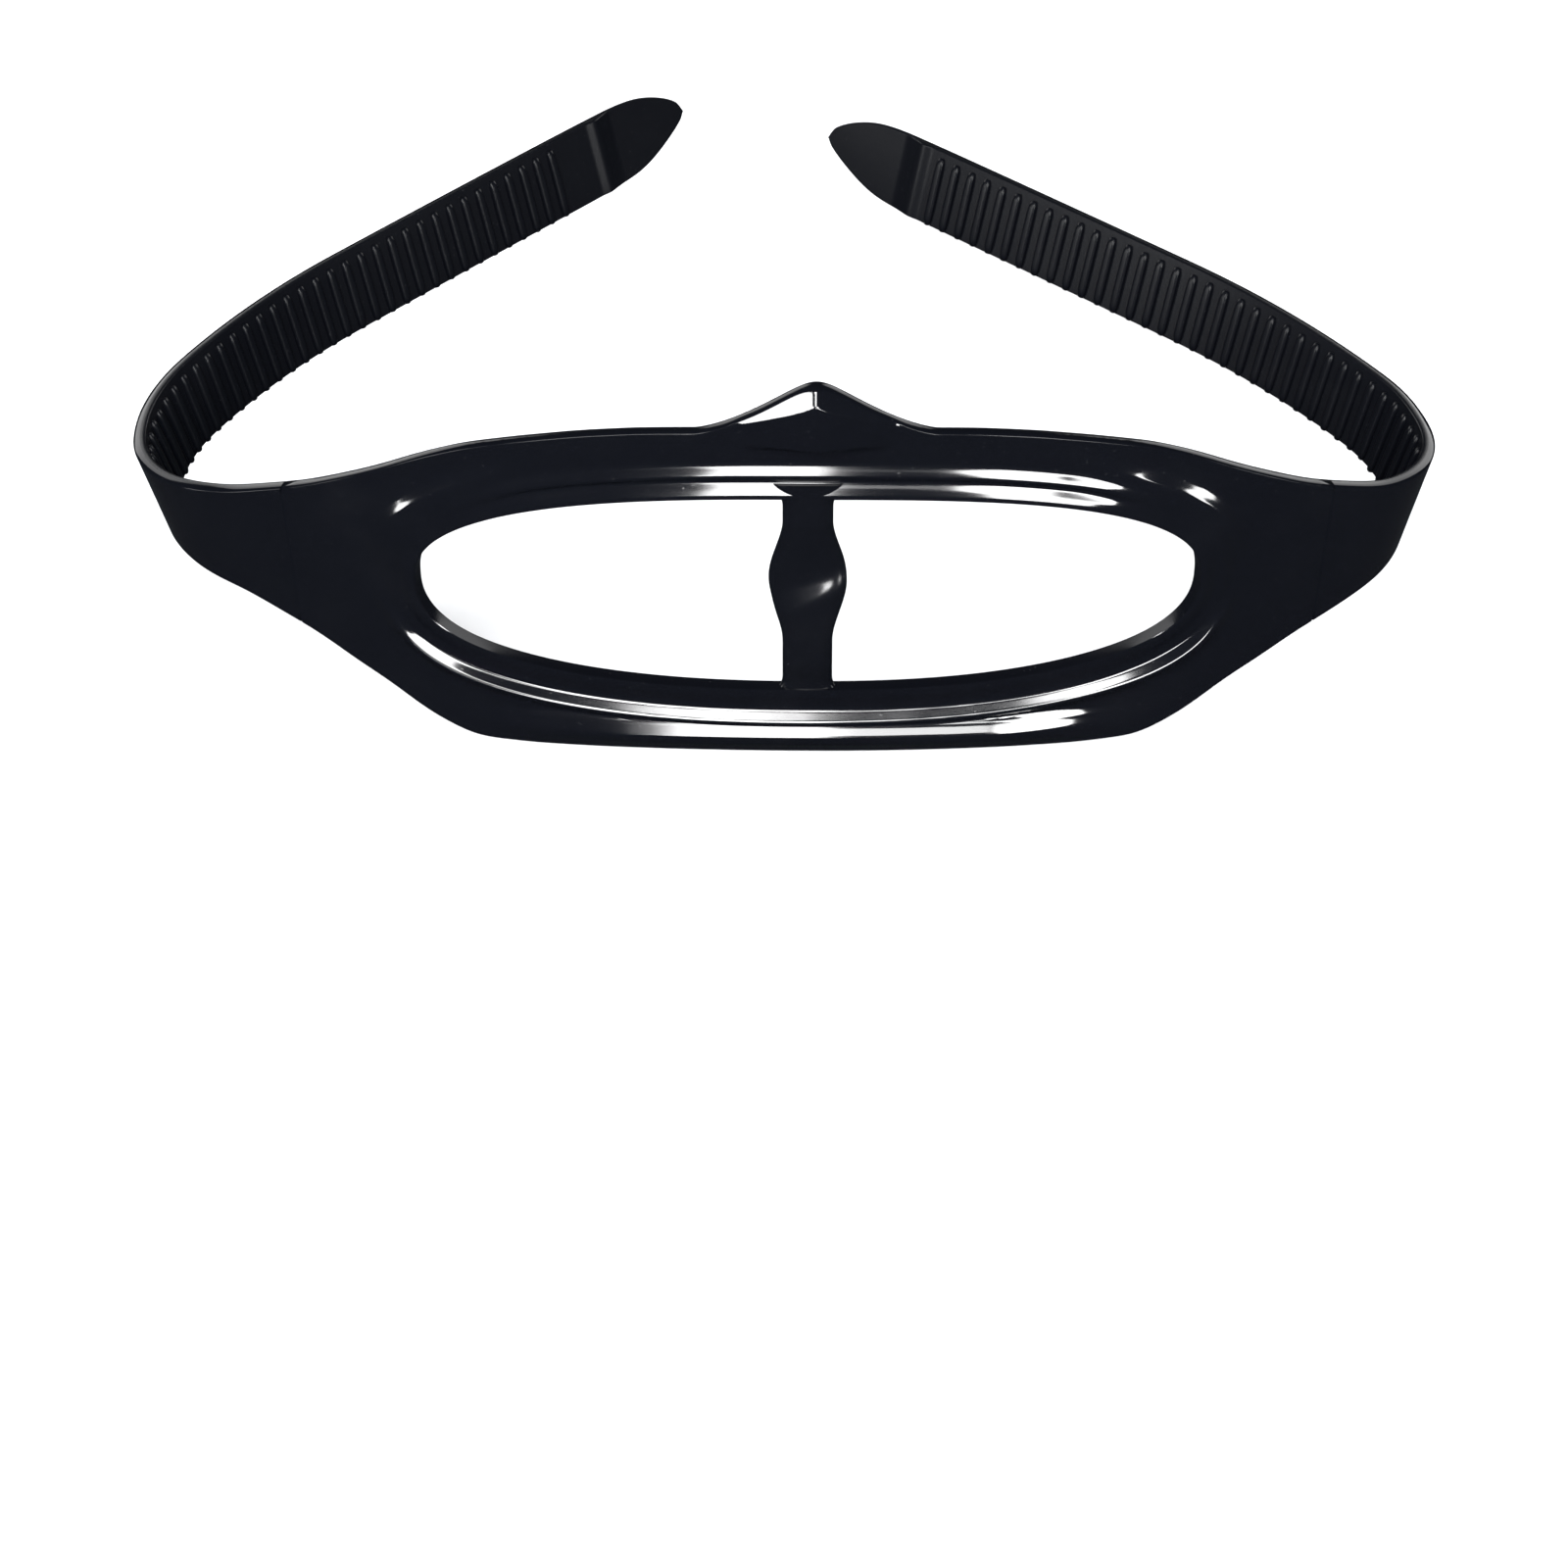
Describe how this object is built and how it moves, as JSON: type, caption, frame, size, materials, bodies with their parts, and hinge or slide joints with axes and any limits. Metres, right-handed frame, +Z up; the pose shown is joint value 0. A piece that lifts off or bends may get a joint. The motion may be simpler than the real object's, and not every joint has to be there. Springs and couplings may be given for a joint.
{
  "type": "diving mask strap",
  "caption": "Moulded silicone rear strap of a diving mask: split head pad with centre bar, two ribbed adjustment tails with pull tabs.",
  "frame": {"origin": "middle of the centre bar's inner face, where the pad lies on the back of the head", "axes": "+X to the pad's right end seen from outside with the crest up, +Y from the pad towards the mask, +Z up towards the crest"},
  "size_m": [0.2385, 0.1715, 0.0776],
  "materials": {
    "black_silicone": "glossy moulded silicone, satin on the ribbed faces"
  },
  "bodies": {
    "pad": {"top_rail": "black_silicone", "bottom_rail": "black_silicone", "left_wing": "black_silicone", "right_wing": "black_silicone", "opening_bead": "black_silicone", "centre_bar": "black_silicone", "crest": "black_silicone"},
    "left_tail_1": {"left_tail_1": "black_silicone"},
    "left_tail_2": {"left_tail_2": "black_silicone"},
    "left_tail_3": {"left_tail_3": "black_silicone"},
    "left_tail_4": {"left_tail_4": "black_silicone"},
    "left_tail_5": {"left_tail_5": "black_silicone"},
    "left_tail_6": {"left_tail_6": "black_silicone"},
    "left_tail_7": {"left_tail_7": "black_silicone"},
    "left_tail_8": {"left_tail_8": "black_silicone"},
    "left_tail_9": {"left_tail_9": "black_silicone"},
    "left_tip": {"left_tip": "black_silicone"},
    "right_tail_1": {"right_tail_1": "black_silicone"},
    "right_tail_2": {"right_tail_2": "black_silicone"},
    "right_tail_3": {"right_tail_3": "black_silicone"},
    "right_tail_4": {"right_tail_4": "black_silicone"},
    "right_tail_5": {"right_tail_5": "black_silicone"},
    "right_tail_6": {"right_tail_6": "black_silicone"},
    "right_tail_7": {"right_tail_7": "black_silicone"},
    "right_tail_8": {"right_tail_8": "black_silicone"},
    "right_tail_9": {"right_tail_9": "black_silicone"},
    "right_tip": {"right_tip": "black_silicone"}
  },
  "joints": [
    {"name": "left_bend_1", "type": "hinge", "parent": "pad", "child": "left_tail_1", "pos_m": [-0.09829, 0.01269, -0.00016], "axis": [0.0529, 0.1194, -0.9914], "range_deg": [-1, 0.05], "stiffness_Nm_per_rad": 0.2},
    {"name": "left_bend_2", "type": "hinge", "parent": "left_tail_1", "child": "left_tail_2", "pos_m": [-0.10848, 0.01732, -0.00022], "axis": [0.0863, 0.1669, -0.9822], "range_deg": [-16.99, 0.59], "stiffness_Nm_per_rad": 0.2},
    {"name": "left_bend", "type": "hinge", "parent": "left_tail_2", "child": "left_tail_3", "pos_m": [-0.11716, 0.02498, -0.00029], "axis": [0.198, 0.1367, -0.9706], "range_deg": [-24, 0.8], "stiffness_Nm_per_rad": 0.2},
    {"name": "left_bend_4", "type": "hinge", "parent": "left_tail_3", "child": "left_tail_4", "pos_m": [-0.12065, 0.0327, -0.00033], "axis": [0.264, 0.0668, -0.9622], "range_deg": [-22.15, 0.76], "stiffness_Nm_per_rad": 0.2},
    {"name": "left_bend_5", "type": "hinge", "parent": "left_tail_4", "child": "left_tail_5", "pos_m": [-0.12126, 0.04517, -0.00036], "axis": [0.3018, -0.028, -0.9529], "range_deg": [-17.04, 0.59], "stiffness_Nm_per_rad": 0.2},
    {"name": "left_bend_6", "type": "hinge", "parent": "left_tail_5", "child": "left_tail_6", "pos_m": [-0.11695, 0.06111, -0.00037], "axis": [0.2802, -0.1302, -0.9511], "range_deg": [-14.88, 0.52], "stiffness_Nm_per_rad": 0.2},
    {"name": "left_curl", "type": "hinge", "parent": "left_tail_6", "child": "left_tail_7", "pos_m": [-0.10469, 0.08228, -0.00037], "axis": [0.2557, -0.1735, -0.9511], "range_deg": [-14, 2], "stiffness_Nm_per_rad": 0.15},
    {"name": "left_curl_8", "type": "hinge", "parent": "left_tail_7", "child": "left_tail_8", "pos_m": [-0.08691, 0.10451, -0.00037], "axis": [0.2312, -0.205, -0.9511], "range_deg": [-14.02, 2.02], "stiffness_Nm_per_rad": 0.15},
    {"name": "left_curl_9", "type": "hinge", "parent": "left_tail_8", "child": "left_tail_9", "pos_m": [-0.06803, 0.12567, -0.00037], "axis": [0.2301, -0.2063, -0.9511], "range_deg": [-14.02, 2.02], "stiffness_Nm_per_rad": 0.15},
    {"name": "left_curl_10", "type": "hinge", "parent": "left_tail_9", "child": "left_tip", "pos_m": [-0.04471, 0.15151, -0.00037], "axis": [0.2287, -0.2079, -0.9511], "range_deg": [-14.02, 2.02], "stiffness_Nm_per_rad": 0.15},
    {"name": "right_bend_1", "type": "hinge", "parent": "pad", "child": "right_tail_1", "pos_m": [0.09802, 0.0148, -0.00015], "axis": [0.0608, -0.1115, 0.9919], "range_deg": [-13.44, 0.47], "stiffness_Nm_per_rad": 0.2},
    {"name": "right_bend_2", "type": "hinge", "parent": "right_tail_1", "child": "right_tail_2", "pos_m": [0.107, 0.02199, -0.00022], "axis": [0.1435, -0.113, 0.9832], "range_deg": [-27.79, 0.95], "stiffness_Nm_per_rad": 0.2},
    {"name": "right_bend", "type": "hinge", "parent": "right_tail_2", "child": "right_tail_3", "pos_m": [0.11181, 0.03252, -0.00028], "axis": [0.2297, -0.0448, 0.9722], "range_deg": [-24, 0.8], "stiffness_Nm_per_rad": 0.2},
    {"name": "right_bend_4", "type": "hinge", "parent": "right_tail_3", "child": "right_tail_4", "pos_m": [0.11203, 0.04093, -0.00032], "axis": [0.2634, 0.0286, 0.9643], "range_deg": [-16, 0.55], "stiffness_Nm_per_rad": 0.2},
    {"name": "right_bend_5", "type": "hinge", "parent": "right_tail_4", "child": "right_tail_5", "pos_m": [0.10891, 0.05297, -0.00035], "axis": [0.272, 0.1142, 0.9555], "range_deg": [-19.12, 0.66], "stiffness_Nm_per_rad": 0.2},
    {"name": "right_bend_6", "type": "hinge", "parent": "right_tail_5", "child": "right_tail_6", "pos_m": [0.10038, 0.067, -0.00036], "axis": [0.2447, 0.1747, 0.9537], "range_deg": [-6.02, 0.22], "stiffness_Nm_per_rad": 0.2},
    {"name": "right_curl", "type": "hinge", "parent": "right_tail_6", "child": "right_tail_7", "pos_m": [0.085, 0.08597, -0.00036], "axis": [0.2215, 0.2034, 0.9537], "range_deg": [-14, 2], "stiffness_Nm_per_rad": 0.15},
    {"name": "right_curl_8", "type": "hinge", "parent": "right_tail_7", "child": "right_tail_8", "pos_m": [0.06453, 0.10572, -0.00036], "axis": [0.2029, 0.2219, 0.9537], "range_deg": [-14.02, 2.02], "stiffness_Nm_per_rad": 0.15},
    {"name": "right_curl_9", "type": "hinge", "parent": "right_tail_8", "child": "right_tail_9", "pos_m": [0.04358, 0.12482, -0.00036], "axis": [0.2023, 0.2224, 0.9537], "range_deg": [-14.02, 2.02], "stiffness_Nm_per_rad": 0.15},
    {"name": "right_curl_10", "type": "hinge", "parent": "right_tail_9", "child": "right_tip", "pos_m": [0.0178, 0.1482, -0.00036], "axis": [0.2016, 0.2231, 0.9537], "range_deg": [-14.02, 2.02], "stiffness_Nm_per_rad": 0.15}
  ],
  "couplings": [
    {"joint": "left_bend_1", "follows": "left_bend", "ratio": 0.041},
    {"joint": "left_bend_2", "follows": "left_bend", "ratio": 0.707},
    {"joint": "left_bend_4", "follows": "left_bend", "ratio": 0.922},
    {"joint": "left_bend_5", "follows": "left_bend", "ratio": 0.709},
    {"joint": "left_bend_6", "follows": "left_bend", "ratio": 0.619},
    {"joint": "left_curl_8", "follows": "left_curl", "ratio": 1},
    {"joint": "left_curl_9", "follows": "left_curl", "ratio": 1},
    {"joint": "left_curl_10", "follows": "left_curl", "ratio": 1},
    {"joint": "right_bend_1", "follows": "right_bend", "ratio": 0.559},
    {"joint": "right_bend_2", "follows": "right_bend", "ratio": 1.157},
    {"joint": "right_bend_4", "follows": "right_bend", "ratio": 0.666},
    {"joint": "right_bend_5", "follows": "right_bend", "ratio": 0.796},
    {"joint": "right_bend_6", "follows": "right_bend", "ratio": 0.25},
    {"joint": "right_curl_8", "follows": "right_curl", "ratio": 1},
    {"joint": "right_curl_9", "follows": "right_curl", "ratio": 1},
    {"joint": "right_curl_10", "follows": "right_curl", "ratio": 1}
  ]
}
